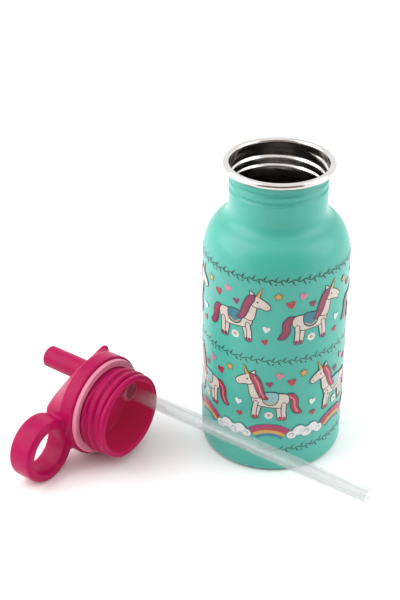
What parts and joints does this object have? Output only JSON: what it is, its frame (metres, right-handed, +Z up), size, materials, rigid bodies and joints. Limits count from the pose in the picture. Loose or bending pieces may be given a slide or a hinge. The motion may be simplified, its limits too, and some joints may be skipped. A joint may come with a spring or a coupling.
{
  "type": "kids water bottle",
  "caption": "Straight-sided steel drinking bottle with a shouldered, threaded neck; its screw lid, with flip spout, straw and carry loop, lies beside it.",
  "frame": {"origin": "centre of the bottle's foot, on the surface it stands on", "axes": "+Z up along the bottle's axis; the lid lies at -X, and its straw passes the bottle at -Y"},
  "size_m": [0.1727, 0.1299, 0.1567],
  "materials": {
    "stainless": "polished rim, bright drawn interior",
    "enamel": "smooth turquoise gloss with a printed pattern",
    "lid_plastic": "semi-gloss hot pink polypropylene",
    "gasket_silicone": "matt pale pink silicone",
    "clear_silicone": "milky clear silicone",
    "straw_plastic": "milky translucent polypropylene"
  },
  "bodies": {
    "bottle": {"steel_flask": "stainless", "base_disc": "stainless", "enamel_coat": "enamel"},
    "lid": {"lid_cover": "lid_plastic", "thread_plug": "lid_plastic", "lid_gasket": "gasket_silicone", "air_vent": "clear_silicone", "straw_grommet": "clear_silicone", "spout_seat": "gasket_silicone"},
    "spout": {"flip_spout": "lid_plastic"},
    "straw": {"straw": "straw_plastic"}
  },
  "joints": [
    {"name": "lid_lift", "type": "slide", "parent": "bottle", "child": "lid", "axis": [0, 0, 1], "range_m": [0, 0.16]},
    {"name": "spout_flip", "type": "hinge", "parent": "lid", "child": "spout", "pos_m": [-0.08951, 0.00401, 0.03004], "axis": [-0.1564, -0.2129, 0.9645], "range_deg": [0, 90]},
    {"name": "straw_pull", "type": "slide", "parent": "lid", "child": "straw", "axis": [0.8059, -0.592, 0], "range_m": [0, 0.03]}
  ]
}
